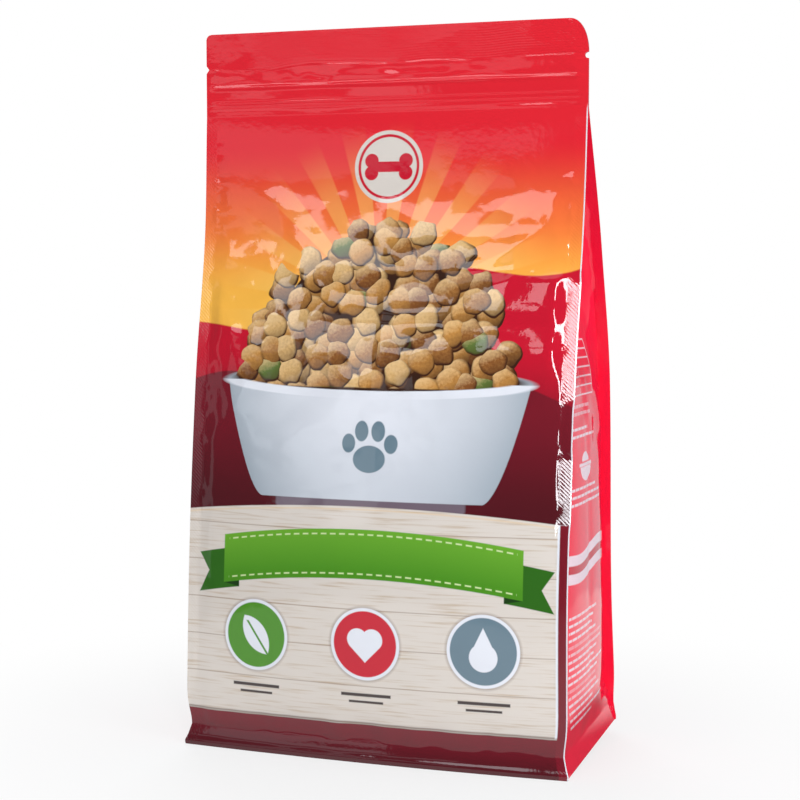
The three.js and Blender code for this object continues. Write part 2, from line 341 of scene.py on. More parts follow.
# %% Puckers beside the seams
def puckered(u, v):
    """Short waves and a rolled edge beside the upright seams, and ripples above the base seal."""
    wave = lattice(v, u, 5.2, 900, 17) + 0.6 * lattice(v, u, 2.9, 900, 19)
    wave = np.maximum(wave, -0.35) * smoothstep(v, 60, 100) * smoothstep(v, 318, 290)
    wide = 1.2 + 4.6 * smoothstep(v, 182, 212) * smoothstep(v, 242, 234) + 0.7 * lattice(v, u, 9, 900, 65)
    lean = np.where(u > 0, 0.24, 0.08) * (1 + 0.4 * lattice(v, u, 6.5, 900, 63))
    roll = lean * np.minimum(from_seam, np.maximum(wide, 0.6))
    roll = np.where(on_gusset, 0, roll * smoothstep(v, 100, 120) * smoothstep(v, 290, 250))
    foot = lattice(u, v, 17, 400, 29) + 0.7 * lattice(u, v, 8.5, 400, 31)
    foot = np.where(on_gusset, 0.2, 0.75) * foot * hump(v, 15, 7) * smoothstep(from_seam, 0, 5)
    return 0.38 * wave * np.exp(-from_seam / 4.0) + roll + foot


d_puckered = puckered(film_u, film_v)
print("puckers rise up to", round(float(d_puckered.max()), 2), "mm")


# %% Folds of the gusset
def tucked(u, v):
    """A star of folds where the gusset tucks in, and the groove of its middle fold."""
    du, dv = u - 4, v - 197
    reach = np.hypot(du, dv) + 1e-6
    star = np.cos(5 * np.arctan2(dv, du) + 1.0) * hump(reach, 0, 22) * reach / (reach + 4)
    groove = np.exp(-np.abs(u) / 3.0) * smoothstep(v, 20, 50)
    return np.where(on_gusset, 0.5 * (star - groove) * smoothstep(from_seam, 0, 9), 0.0)


d_tucked = tucked(film_u, film_v)
print("gusset folds sink up to", round(-float(d_tucked.min()), 2), "mm")


# %% Body relief
body = (row_kind == "skin")[:, None] & (film_v < HEADER_BASE - 0.5)
rim = 0.09 * lattice(film_u, film_v * 0, 15, 9, 81) * (bead * outer_row)[:, None]
rim = rim * on_front * smoothstep(from_seam, 0, 5)
d_body = np.where(body, d_creased + d_puckered + d_tucked, 0.0) + rim
d_body = np.where((col_f == 0)[None, :], d_body, 0.0)
print("body relief from", round(float(d_body.min()), 2), "to", round(float(d_body.max()), 2), "mm")


# %% [markdown]
# ## Relief of the header
# The jaws that close the pouch leave fine level ribs in the top seal, and the seal's lower edge is never
# quite straight. Under it the film is slack and wrinkled, and the zip's strips stand out as ridges. Both
# plies are pressed together, so the back follows the front.

# %% Header relief
ZIP_HEAD, ZIP_PAIR = 334.6, ((326.6, 0.16), (324.0, 0.12))
RIB_PITCH, RIB_RISE = 1.2, 0.016


def header_relief():
    """Outward displacement of the header's two plies, in millimetres."""
    u, v = film_u, film_v
    flat = ~on_gusset & (v >= HEADER_BASE - 1e-6)
    inner = smoothstep(WIDTH / 2 - np.abs(u), 1.0, 7.0)
    low = SEAL_LOW + 0.9 * lattice(u, v * 0, 23, 9, 41) - 2.2 * hump(u, -70, 16)
    ribbed = smoothstep(v, low - 0.35, low + 0.35)
    ribs = RIB_RISE * np.cos(2 * math.pi * (v - low) / RIB_PITCH) * smoothstep(v, HEIGHT, HEIGHT - 1.5)
    ribs = ribbed * ribs * smoothstep(lattice(u, v, 30, 40, 45), -0.9, 0.3)
    planes = facets(np.where(on_back, -u, u) + 0.5 * v, v, 36, 30, 49) * smoothstep(v, 338, 350)
    planes = np.where(on_back, -0.5, 0.5) * inner * planes
    slack = smoothstep(v, 336, 338.5) * (1 - ribbed) * inner
    wrinkle = slack * (0.11 * lattice(u, v, 5.5, 7, 43) + 0.30 * lattice(u + 0.6 * v, v, 15, 9, 47))
    ridge = 0.62 * hump(v, ZIP_HEAD, 0.9) * (0.75 + 0.35 * lattice(u, v, 21, 60, 57))
    for height, rise in ZIP_PAIR:
        ridge = ridge + rise * hump(v, height, 0.8)
    sag = 0.35 * lattice(u, v, 38, 12, 53) * smoothstep(v, HEADER_BASE, 324) * smoothstep(v, 344, 338)
    return np.where(flat, ribs + planes + wrinkle + inner * (ridge + sag), 0.0)


d_header = header_relief()
print("header relief from", round(float(d_header.min()), 2), "to", round(float(d_header.max()), 2), "mm")


# %% [markdown]
# ## Move the skin
# A displacement needs a direction. The grid's own normals serve on the panels. A fin and the header are
# thin, with a sharp corner at the edge, so there the direction is straight to the front or to the back.

# %% Displace
def panel_normals(points):
    """Unit normals of each panel alone, so that a fin's corner does not tilt its neighbours."""
    normal = np.cross(np.roll(points, -1, 1) - np.roll(points, 1, 1), np.gradient(points, axis=0))
    normal = normal / np.maximum(np.linalg.norm(normal, axis=-1, keepdims=True), 1e-9)
    face = np.zeros_like(points)
    face[:, on_front[0]] = (0, -1, 0)
    face[:, on_back[0]] = (0, 1, 0)
    flat = ((row_z >= HEADER_BASE - 1e-6)[:, None] | (col_f > 0)[None, :])[..., None]
    return np.where(flat, face, normal)


points = skin + panel_normals(skin) * (d_body + d_header)[..., None]
print("displaced skin spans", np.round(np.ptp(points.reshape(-1, 3), axis=0), 1), "mm")

# %% [markdown]
# ## Bent fins
# A fin seal is stiff, but it never stands quite square. The right front one is bent back along the waist, so
# that it catches the light there. Both plies of a fin move together.

# %% Bend the fins
bend = 0.08 + 0.29 * smoothstep(row_z, 116, 124) * smoothstep(row_z, 241, 234)
bend = bend - 0.27 * smoothstep(row_z, 152, 158) * smoothstep(row_z, 181, 175)
bend = bend + 0.015 * lattice(row_z, row_z * 0, 14, 9, 61)
bend = bend * smoothstep(row_z, 30, 60) * smoothstep(row_z, HEADER_BASE, 290)
right_front = (on_front[0] & (col_s > 0)) | (on_right[0] & (col_s < 0))
points[..., 1] += bend[:, None] * (right_front * col_f * EDGE_SEAL)[None, :]
print("fin bent by up to", round(math.degrees(math.atan(float(bend.max()))), 1), "degrees")


# %% [markdown]
# ## One closed mesh
# Quads join the rows. In the header each gusset is pressed away between the plies, so its columns end there
# in a fan, and the front joins the back directly. The base is closed with one flat face, and the top edge
# with a strip between the two plies. Each face takes the finish of its panel.

# %% Faces
SLOTS = {"front": 0, "right": 1, "back": 2, "left": 2}
PLAIN = 2


def skin_faces():
    """Faces as lists of grid numbers, and the finish of each."""
    rows_n, cols_n = skin.shape[:2]
    head = int(np.argmax(row_z > HEADER_BASE - 0.01))
    everyone = list(range(cols_n))
    plies = [j for j in everyone if col_panel[j] in ("front", "back")]
    faces, finish = [], []

    def add(slot, *spots):
        faces.append([i * cols_n + j for i, j in spots])
        finish.append(slot)

    for i in range(rows_n - 1):
        ring = everyone if i + 1 < head else plies
        for j, k in zip(ring, ring[1:] + ring[:1]):
            same = col_panel[j] == col_panel[k]
            if same or i + 1 != head:
                add(SLOTS[col_panel[j]] if same else PLAIN, (i, j), (i, k), (i + 1, k), (i + 1, j))
                continue
            chain = everyone[j : k + 1] if k > j else everyone[j:] + [k]
            middle = len(chain) // 2
            for n, (a, b) in enumerate(zip(chain, chain[1:])):
                add(PLAIN, (i, a), (i, b), (head, j if n < middle else k))
            add(PLAIN, (i, chain[middle]), (head, k), (head, j))
    add(PLAIN, *[(0, j) for j in reversed(everyone)])
    front = [j for j in plies if col_panel[j] == "front"]
    back = [j for j in plies if col_panel[j] == "back"][::-1]
    k = 0
    for n in range(len(back) - 1):
        on_fin = n < FIN_COLS or n >= len(back) - 1 - FIN_COLS
        ahead = 1 if on_fin else FRONT_COLS // BACK_COLS
        add(PLAIN, *[(rows_n - 1, j) for j in front[k : k + ahead + 1] + [back[n + 1], back[n]]])
        k += ahead
    return faces, finish


faces, finish = skin_faces()
print(len(faces), "faces")


# %% Mesh
def build_pouch():
    used = np.unique(np.concatenate(faces))
    number = np.zeros(film_u.size, int)
    number[used] = np.arange(len(used))
    mesh = bpy.data.meshes.new("pouch_skin")
    metres = points.reshape(-1, 3)[used] / 1000
    mesh.from_pydata(metres.tolist(), [], [number[face].tolist() for face in faces])
    mesh.polygons.foreach_set("material_index", finish)
    corners = np.zeros(len(mesh.loops), int)
    mesh.loops.foreach_get("vertex_index", corners)
    film = mesh.uv_layers.new(name="film_mm")
    flat = np.stack([film_u.ravel(), film_v.ravel()], -1)[used][corners]
    film.data.foreach_set("uv", flat.astype(np.float32).ravel())
    mesh.validate()
    mesh.shade_smooth()
    mesh.set_sharp_from_angle(angle=math.radians(50))
    pouch = bpy.data.objects.new("food_pouch", mesh)
    bpy.context.scene.collection.objects.link(pouch)
    return pouch


pouch = build_pouch()
print("pouch has", sum(len(p.vertices) - 2 for p in pouch.data.polygons), "triangles")


# %% [markdown]
# ## Shader maths in plain expressions
# A print is sums and products of distances. A small class wraps a node socket, so that an expression such as
# `1 - mask` adds the Math nodes it needs. Anything else comes from one method that makes a node.

# %% Sockets that do sums
class Value:
    """A node's output that takes part in sums."""

    def __init__(self, nodes, socket):
        self.nodes, self.socket = nodes, socket

    def _do(self, operation, *terms, clamp=False):
        sockets = {f"_{n}": term for n, term in enumerate(terms)}
        return self.nodes.node("ShaderNodeMath", {"operation": operation, "use_clamp": clamp}, **sockets)

    def __add__(self, other):
        return self._do("ADD", self, other)

    def __radd__(self, other):
        return self._do("ADD", other, self)

    def __sub__(self, other):
        return self._do("SUBTRACT", self, other)

    def __rsub__(self, other):
        return self._do("SUBTRACT", other, self)

    def __mul__(self, other):
        return self._do("MULTIPLY", self, other)

    def __rmul__(self, other):
        return self._do("MULTIPLY", other, self)

    def __truediv__(self, other):
        return self._do("DIVIDE", self, other)

    def __neg__(self):
        return self._do("MULTIPLY", self, -1.0)

    def __abs__(self):
        return self._do("ABSOLUTE", self)

    def __pow__(self, power):
        return self._do("POWER", self, power)

    def min(self, other):
        return self._do("MINIMUM", self, other)

    def max(self, other):
        return self._do("MAXIMUM", self, other)

    def sin(self):
        return self._do("SINE", self)

    def fract(self):
        return self._do("FRACT", self)

    def floor(self):
        return self._do("FLOOR", self)

    def over(self, limit):
        return self._do("GREATER_THAN", self, limit)

    def clamp(self):
        return self._do("ADD", self, 0.0, clamp=True)

    def inside(self, soft=0.22):
        """1 where a distance is negative, with a soft print edge in millimetres."""
        return self._do("MULTIPLY_ADD", self, -0.5 / soft, 0.5, clamp=True)

    def ramp(self, low, high, style="SMOOTHSTEP", **ends):
        """0 at low, 1 at high, smooth between, or the ends that are given."""
        limits = {"From Min": low, "From Max": high, **ends}
        return self.nodes.node("ShaderNodeMapRange", {"interpolation_type": style}, Value=self, **limits)


print(Value.__name__, "wraps a socket")


# %% One method for every node
class Nodes:
    """A node tree."""

    def __init__(self, tree):
        self.tree = tree

    def plug(self, socket, term):
        if isinstance(term, Value):
            self.tree.links.new(term.socket, socket)
        elif isinstance(term, tuple) and len(term) == 3 and len(socket.default_value) == 4:
            socket.default_value = (*term, 1.0)
        else:
            socket.default_value = term

    def node(self, kind, settings, out=0, **sockets):
        """A node of a kind. Sockets are given by name, or by place as _0, _1; so is the output wanted."""
        node = self.tree.nodes.new(kind)
        for key, value in settings.items():
            setattr(node, key, value)
        for key, term in sockets.items():
            if key[0] == "_":
                self.plug(node.inputs[int(key[1:])], term)
            else:
                self.plug([s for s in node.inputs if s.name == key and s.enabled][0], term)
        if out == "all":
            return [Value(self, s) for s in node.outputs if s.enabled]
        return Value(self, node.outputs[out])

    def mix(self, low, high, factor):
        """A colour between two colours."""
        outs = self.node("ShaderNodeMix", {"data_type": "RGBA", "clamp_factor": True}, "all",
                         Factor=factor, A=low, B=high)
        return outs[0]

    def vector(self, operation, first, second=(0, 0, 0)):
        """Vector Math on two vectors. Lengths, distances and dot products come back as values."""
        out = "Value" if operation in ("LENGTH", "DISTANCE", "DOT_PRODUCT") else "Vector"
        return self.node("ShaderNodeVectorMath", {"operation": operation}, out, _0=first, _1=second)


print(Nodes.__name__, "makes and links nodes")


# %% [markdown]
# ## Ink
# A printer thinks in millimetres on the flat film, and so does this material: it reads the film's own
# coordinates, which the mesh carries. Shapes are distances, negative inside and positive outside, since a
# distance gives a clean edge at any zoom.

# %% Distances on the film
class Ink(Nodes):
    """A film's material, with the film's coordinates at hand."""

    def __init__(self, name):
        self.material = bpy.data.materials.new(name)
        self.material.use_nodes = True
        super().__init__(self.material.node_tree)
        self.shader = self.tree.nodes["Principled BSDF"]
        self.film = self.node("ShaderNodeUVMap", {"uv_map": "film_mm"})
        self.u, self.v, _ = self.node("ShaderNodeSeparateXYZ", {}, "all", Vector=self.film)

    def disc(self, u, v, r, place=None):
        """Distance to a round spot."""
        return self.vector("DISTANCE", place or self.film, (u, v, 0)) - r

    def oval(self, u, v, ru, rv, place=None):
        """Near enough the distance to an oval."""
        moved = self.vector("SUBTRACT", place or self.film, (u, v, 0))
        scaled = self.vector("MULTIPLY", moved, (1 / ru, 1 / rv, 0))
        return (self.vector("LENGTH", scaled) - 1) * min(ru, rv)

    def place(self, x, y):
        """A position made of two values."""
        return self.node("ShaderNodeCombineXYZ", {}, X=x, Y=y)

    def box(self, u, v, half_u, half_v, r=0.0):
        """Distance to a box with rounded corners."""
        a, b = abs(self.u - u) - (half_u - r), abs(self.v - v) - (half_v - r)
        return (a.max(0) ** 2 + b.max(0) ** 2) ** 0.5 + a.max(b).min(0) - r


print(Ink.__name__, "reads the film's millimetres")


# %% [markdown]
# ## Film finish
# The laminate is a clear gloss ply over printed ink, so one smooth dielectric surface over a matt colour.
# Its gloss is not quite even, and a fine bump gives the slight orange-peel of film and the diagonal knurl
# that the sealing jaws press into the upright fins. The knurl is too fine for the mesh, so it is bump.

# %% Colours of the inks
def srgb(*levels):
    shares = [level / 255 for level in levels]
    return tuple(c / 12.92 if c <= 0.04045 else ((c + 0.055) / 1.055) ** 2.4 for c in shares)


RED, BRIGHT, CRIMSON = srgb(226, 32, 46), srgb(242, 26, 62), srgb(198, 14, 42)
MAROON, DARK = srgb(118, 18, 34), srgb(78, 12, 22)
ORANGE, YELLOW, TAN = srgb(244, 128, 56), srgb(250, 184, 72), srgb(222, 188, 134)
CREAM, WHITE, SLATE = srgb(216, 207, 197), srgb(226, 228, 234), srgb(104, 126, 138)
GREEN, LEAF = srgb(74, 140, 30), srgb(44, 100, 22)
KIBBLE, KIBBLE_DARK = srgb(196, 140, 70), srgb(130, 78, 36)
print("red ink in linear light", tuple(round(c, 3) for c in RED))

# %% Shared film finish
KNURL_PITCH = 1.84


def film_finish(ink, colour, half=WIDTH / 2):
    """Gloss, unevenness and knurled fins over a printed colour."""
    smear = ink.node("ShaderNodeTexNoise", {}, Vector=ink.film, Scale=0.06, Detail=2.0)
    peel = ink.node("ShaderNodeTexNoise", {}, Vector=ink.film, Scale=0.35, Detail=2.0)
    fin = (abs(ink.u) - (half - EDGE_SEAL)).ramp(-0.2, 0.2) * ink.v.ramp(318, 312)
    lines = ((ink.u + ink.v) * (2 * math.pi / KNURL_PITCH)).sin()
    height = peel * 0.03 + fin * lines * 0.012
    bump = ink.node("ShaderNodeBump", {}, Height=height, Distance=0.001, Strength=1.0)
    ink.plug(ink.shader.inputs["Base Color"], colour)
    ink.plug(ink.shader.inputs["Roughness"], smear * 0.04 + 0.03 + fin * 0.03)
    ink.plug(ink.shader.inputs["Normal"], bump)
    print(ink.material.name, "uses", len(ink.tree.nodes), "nodes")
    return ink.material


print("knurl lines lie", round(KNURL_PITCH / math.sqrt(2), 2), "mm apart")


# %% Plain film
def plain_film():
    ink = Ink("plain_red_film")
    mottle = ink.node("ShaderNodeTexNoise", {}, Vector=ink.film, Scale=0.02, Detail=1.0)
    return film_finish(ink, ink.mix(BRIGHT, RED, mottle))


finishes = {PLAIN: plain_film()}
print(len(finishes), "finish so far")


# %% [markdown]
# ## Sky and hills
# The pack's upper half runs from yellow through orange to red, with a glow of faint rays, over two rows of
# dark hills. Level ramps of height make the sky, an angle makes the rays, and a sine makes each ridge line.

# %% Sky and hills
GLOW, GLOW_TINT = 222.0, srgb(252, 206, 110)
front = Ink("front_print")


def sky_and_hills(ink):
    u, v = ink.u, ink.v
    colour = ink.mix(YELLOW, ORANGE, v.ramp(226, 266))
    colour = ink.mix(colour, RED, v.ramp(246, 306))
    angle = ink.node("ShaderNodeMath", {"operation": "ARCTAN2"}, _0=v - GLOW, _1=u)
    rays = (angle * 22).sin().ramp(-0.2, 0.2) * ink.disc(0, GLOW, 0).ramp(96, 50)
    colour = ink.mix(colour, GLOW_TINT, rays * 0.35)
    far = v - (u * 0.2 + (u * 0.045 + 0.6).sin() * 8 + 230)
    colour = ink.mix(colour, ink.mix(MAROON, CRIMSON, v.ramp(160, 206)), far.inside(0.4))
    near = v - ((u * 0.047 - 1.0).sin() * 9 + 182)
    return ink.mix(colour, ink.mix(DARK, MAROON, v.ramp(122, 182)), near.inside(0.4))


picture = sky_and_hills(front)
print("sky and hills:", len(front.tree.nodes), "nodes so far")


# %% [markdown]
# ## A heaped bowl
# The main picture is a white bowl heaped with round pieces of dry food. Each piece is a cell of a Voronoi
# pattern, which gives it a middle, a tint of its own and a round edge. Three shifted layers lie over each
# other, as pieces do in a heap, and the lower layers are darker.

# %% Kibble
RIM, PIECE = 187.0, 13.5
LIT, GREENISH, PALE, GAP = srgb(238, 202, 146), srgb(92, 112, 50), srgb(216, 176, 116), srgb(58, 28, 12)


def kibble_layer(ink, colour, shift, heap, shade):
    """One layer of rounded pieces, each with its own brown, lit from the upper left, in an oval heap."""
    stir = ink.node("ShaderNodeTexNoise", {}, 1, Vector=ink.film, Scale=0.11, Detail=1.0)
    place = ink.vector("ADD", ink.film, ink.vector("MULTIPLY", stir, (5.0, 5.0, 0)))
    place = ink.vector("ADD", place, (*shift, 0))
    far, tint, middle = ink.node("ShaderNodeTexVoronoi", {"voronoi_dimensions": "2D"}, "all",
                                 Vector=place, Scale=1 / PIECE, Randomness=0.7)
    parts = ink.node("ShaderNodeSeparateColor", {}, "all", Color=tint)
    lit = ink.vector("DOT_PRODUCT", ink.vector("SUBTRACT", place, middle), (-0.07, 0.13, 0))
    crumb = ink.node("ShaderNodeTexNoise", {}, Vector=ink.film, Scale=0.7, Detail=3.0)
    brown = ink.mix(KIBBLE_DARK, KIBBLE, (parts[0] + crumb - 0.5).clamp())
    brown = ink.mix(brown, GREENISH, parts[1].over(0.9))
    brown = ink.mix(brown, PALE, parts[2].over(0.84) * (crumb + 0.35))
    brown = ink.mix(brown, LIT, (lit * 0.7 + crumb * 0.5 - 0.25).clamp())
    brown = ink.mix(brown, GAP, (far.ramp(0.36, 0.52) * 0.75 - lit * 0.7 + shade).clamp())
    wide, tall = heap
    inside = ink.oval(shift[0] + 2.5, RIM - 3 + shift[1] + 2.5, wide, tall, middle).inside(0.1)
    return ink.mix(colour, brown, inside * (far - 0.5).inside(0.018) * ink.v.ramp(RIM - 3, RIM - 2))


print("pieces lie about", PIECE, "mm apart")


# %% Bowl
BOWL_DEPTH, SHADE, BED = 57.0, srgb(111, 96, 107), srgb(52, 26, 12)
LAYERS = (((0, 0), (70, 80), 0.34), ((41, 23), (72, 82), 0.14), ((86, 57), (70, 80), 0.0))


def heaped_bowl(ink, colour):
    u, v = ink.u, ink.v
    rim = ink.oval(0, RIM, 82, 8)
    share = ((v - RIM + BOWL_DEPTH) / BOWL_DEPTH).clamp()
    wall = (abs(u) - (share ** 0.6 * 22 + 58)).max(v - RIM).max(RIM - BOWL_DEPTH - v)
    glaze = ((u * (1 / 84)) ** 2 * 0.7 + v.ramp(RIM - 3, RIM - 67) * 0.3).clamp()
    colour = ink.mix(colour, SHADE, ink.box(0, RIM - BOWL_DEPTH - 1, 50, 4, 2).inside(0.6))
    colour = ink.mix(colour, ink.mix(WHITE, SLATE, glaze), wall.min(rim).inside())
    colour = ink.mix(colour, WHITE, abs(rim + 1.1).inside(0.6) * v.ramp(RIM - 2, RIM + 1))
    bed = ink.oval(0, RIM - 3, 62, 74).max(RIM - 3 - v).min(ink.oval(0, RIM + 1, 77, 6.5))
    colour = ink.mix(colour, BED, bed.inside(0.3))
    for shift, heap, shade in LAYERS:
        colour = kibble_layer(ink, colour, shift, heap, shade)
    lip = rim.max(-ink.oval(0, RIM + 3.5, 80, 7.5)).max(v - RIM)
    colour = ink.mix(colour, WHITE, lip.inside())
    pair = ink.place(abs(u), v - (RIM - 33))
    paw = ink.oval(0, -4, 8.5, 6.6, pair).min(ink.oval(11.2, 3.5, 3.5, 4.6, pair))
    return ink.mix(colour, SLATE, paw.min(ink.oval(4.4, 9.5, 3.6, 5.0, pair)).inside())


picture = heaped_bowl(front, picture)
print("bowl:", len(front.tree.nodes), "nodes so far")


# %% [markdown]
# ## Cream foot, ribbon and roundels
# The lower third is cream boarding with a slightly arched edge, and a maroon band along the foot. A green
# ribbon and three roundels lie on it, with plain bars below, and a round crest tops the sky. Symmetry saves
# nodes: a distance from the middle line draws both halves of a shape at once.

# %% Cream foot
CREAM_TOP, BAND_TOP, BOARD = 127.0, 19.0, 19.0
WORN, GROOVE, BAND_EDGE = srgb(190, 168, 142), srgb(150, 126, 106), srgb(92, 74, 70)


def cream_foot(ink, colour):
    u, v = ink.u, ink.v
    edge = v - (CREAM_TOP - u * u * 0.0006)
    along = ink.vector("MULTIPLY", ink.film, (0.035, 0.8, 0))
    grain = ink.node("ShaderNodeTexNoise", {}, Vector=along, Scale=1.0, Detail=4.0)
    boards = ink.mix(CREAM, WORN, grain.ramp(0.48, 0.82))
    groove = abs((v * (1 / BOARD) + 0.45).fract() - 0.5) * BOARD - 0.22
    boards = ink.mix(boards, GROOVE, groove.inside(0.2) * 0.7)
    colour = ink.mix(colour, boards, edge.inside())
    colour = ink.mix(colour, TAN, abs(edge + 1.4).inside(0.7))
    band = v - BAND_TOP
    colour = ink.mix(colour, ink.mix(DARK, MAROON, v.ramp(0, 20)), band.inside())
    return ink.mix(colour, BAND_EDGE, (abs(band - 0.6) - 0.6).inside(0.6) * 0.6)


picture = cream_foot(front, picture)
print("cream foot:", len(front.tree.nodes), "nodes so far")


# %% Ribbon
RIBBON = 104.0
FOLD, SHEEN, STITCH = srgb(24, 58, 14), srgb(104, 166, 46), srgb(206, 224, 160)


def ribbon(ink, colour):
    u, v = ink.u, ink.v
    x, arc = abs(u), v - (RIBBON - u * u * 0.0011)
    tail = (abs(arc + 5) - 10).max(x - 88 - abs(arc + 5) * 0.6).max(70 - x)
    colour = ink.mix(colour, LEAF, tail.inside())
    fold = (arc + 12).max(70 - x).max(x - 79).max((x - 70) * 0.33 - 15 - arc)
    colour = ink.mix(colour, FOLD, fold.inside())
    body = (abs(arc) - 12).max(x - 79)
    colour = ink.mix(colour, ink.mix(GREEN, SHEEN, (arc * 0.05 + 0.4).clamp()), body.inside())
    dash = (abs(abs(arc) - 9.6) - 0.35).max(x - 76).max(abs((u * 0.2).fract() - 0.5) * 5 - 1.5)
    return ink.mix(colour, STITCH, dash.inside())


picture = ribbon(front, picture)
print("ribbon:", len(front.tree.nodes), "nodes so far")


# %% Roundels
ROUNDELS, APART = 60.0, 60.0
HALO, BAR_INK = srgb(120, 98, 84), srgb(66, 56, 54)


def roundels(ink, colour):
    u, x, y = ink.u, abs(ink.u), ink.v - ROUNDELS
    sides = ink.place(x, ink.v)
    ring = ink.disc(APART, ROUNDELS, 18, sides).min(ink.disc(0, ROUNDELS, 18))
    fill = ink.mix(ink.mix(GREEN, CRIMSON, u.ramp(-31, -29)), SLATE, u.ramp(29, 31))
    colour = ink.mix(colour, HALO, (ring - 0.8).inside(0.8) * 0.5)
    colour = ink.mix(colour, WHITE, ring.inside())
    colour = ink.mix(colour, fill, (ring + 1.6).inside())
    leaf = ink.disc(-APART - 6.5, ROUNDELS - 4.5, 14).max(ink.disc(-APART + 6.5, ROUNDELS + 4.5, 14))
    vein = (abs((u + APART) * 0.82 + y * 0.57) - 0.55).max(y - 7)
    heart = ink.disc(3.82, 2.3, 5.4, ink.place(x, y)).min((x + abs(y + 1.5) - 7.64) * 0.707)
    taper = (abs(u - APART) * 0.9 + (y - 11.5) * 0.44).max(-0.2 - y)
    drop = ink.disc(APART, ROUNDELS - 3, 7).min(taper)
    colour = ink.mix(colour, WHITE, leaf.max(-vein).min(heart).min(drop).inside())
    near = abs(((u + 1.5 * APART) * (1 / APART)).fract() - 0.5) * APART
    bars = (abs(y + 25.5) - 0.8).max(near - 13).min((abs(y + 29) - 0.6).max(near - 9))
    return ink.mix(colour, BAR_INK, bars.inside())


picture = roundels(front, picture)
print("roundels:", len(front.tree.nodes), "nodes so far")


# %% Crest
CREST = 293.0


def crest(ink, colour):
    x, y = abs(ink.u), abs(ink.v - CREST)
    disc = ink.disc(0, CREST, 18)
    colour = ink.mix(colour, CREAM, disc.inside())
    colour = ink.mix(colour, CRIMSON, (abs(disc + 2.6) - 0.7).inside())
    bone = ink.disc(9.0, 3.0, 3.6, ink.place(x, y)).min((x - 9).max(y - 2.6))
    return ink.mix(colour, CRIMSON, bone.inside())


picture = crest(front, picture)
print("crest:", len(front.tree.nodes), "nodes so far")


# %% [markdown]
# ## The right fin
# Inks go on from the back to the front, as layers do in any drawing. Last comes the right fin: a white line
# and a maroon strip on its lower part, and the pale cut edge of the laminate. Each is a distance from the
# film's edge, so they keep to it where the fin bends.

# %% Right fin
FIN_LINE, FIN_STRIP, CUT_EDGE = 5.7, 4.6, 0.6


def right_fin(ink, colour):
    from_edge, low = WIDTH / 2 - ink.u, ink.v.ramp(122, 121)
    colour = ink.mix(colour, WHITE, (from_edge - FIN_LINE).inside() * low * ink.v.ramp(19, 20.5))
    colour = ink.mix(colour, MAROON, (from_edge - FIN_STRIP).inside() * low)
    return ink.mix(colour, WHITE, (from_edge - CUT_EDGE).inside(0.15) * ink.v.ramp(322, 317))


finishes[SLOTS["front"]] = film_finish(front, right_fin(front, picture))
print(len(finishes), "finishes so far")


# %% [markdown]
# ## Side print
# The right gusset carries rows of fine white bars, a ruled table, a pictogram of a bowl and one broad white
# band. Rows of bars come from the height divided by the line pitch: the whole part numbers the line, and the
# rest is the place within it.

# %% Side print
LINE, FIRST_LINE, SIDE_INK = 3.6, 19.0, srgb(236, 222, 230)


def bar_rows(ink):
    """Distance to rows of broken bars, in blocks of lines."""
    row = (ink.v - FIRST_LINE) * (1 / LINE)
    line = row.floor()
    length = ((line * 12.9898).sin() * 43758.5).fract() * 26 + 40
    text = (abs(row.fract() - 0.5) * LINE - 0.62).max(ink.u + 38 - length).max(-38 - ink.u)
    word = 0.9 - (ink.u * 0.13 + line * 0.37).fract() * 7.7
    low = (abs(line - 7.5) - 8).max(0.1 - abs((line * (1 / 6.0)).fract() - 5 / 6.0))
    upper = (abs(line - 31) - 1.5).min(abs(line - 39.5) - 1).min(abs(line - 42.5) - 0.5)
    return text.max(word).max(low.min(upper))


def side_print():
    ink = Ink("side_print")
    u, v = ink.u, ink.v
    table = ink.box(-8, 194, 30, 13.2)
    level = abs(((v - 180.8) * (1 / 4.4)).fract() - 0.5) * -4.4 + 1.9
    rules = (abs(table) - 0.3).min(table.max((abs(u + 6) - 0.25).min(level)))
    bowl = ink.oval(-6, 146, 12, 7).max(v - 146).min(ink.box(-6, 147, 14, 0.8, 0.4))
    bowl = bowl.min(ink.oval(-6, 148.6, 8, 4.5).max(148.6 - v))
    wave = v - 98 - (u + 38) * 0.06 - (u * 0.09).sin() * 1.5
    band = (abs(wave) - 7).max(abs(u) - 44)
    marks = bar_rows(ink).min(rules).min(bowl).min(band)
    colour = ink.mix(BRIGHT, SIDE_INK, marks.inside(0.3) * 0.9)
    colour = ink.mix(colour, CRIMSON, (abs(wave) - 2.0).max(abs(u) - 40).inside(0.3))
    return film_finish(ink, colour, half=GUSSET_HALF + EDGE_SEAL)


finishes[SLOTS["right"]] = side_print()
print(len(finishes), "finishes so far")

# %% [markdown]
# ## Dress the pouch
# The finishes go on in the order of their numbers. The pouch rides on the CAD model's only body and stands
# in place of its only solid.

# %% Dress the pouch
for slot in sorted(finishes):
    pouch.data.materials.append(finishes[slot])
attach(pouch, "root")
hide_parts("food_bag")
print("finishes", [m.name for m in pouch.data.materials])

# %% [markdown]
# ## Floor and room
# A product picture has a white table and a white wall. Both are white to the camera, and the table keeps the
# pouch's soft shadow. In reflections the table is white too, except close to the pouch's sides and back,
# where a painted shadow darkens its emission. The room is dim, and brightest low down behind, so that film
# shows dark as well as light.

# %% Floor
scene = bpy.context.scene
scene.view_settings.view_transform = "Standard"
TABLE_RADIUS, TABLE_SIDES = 0.5, 96


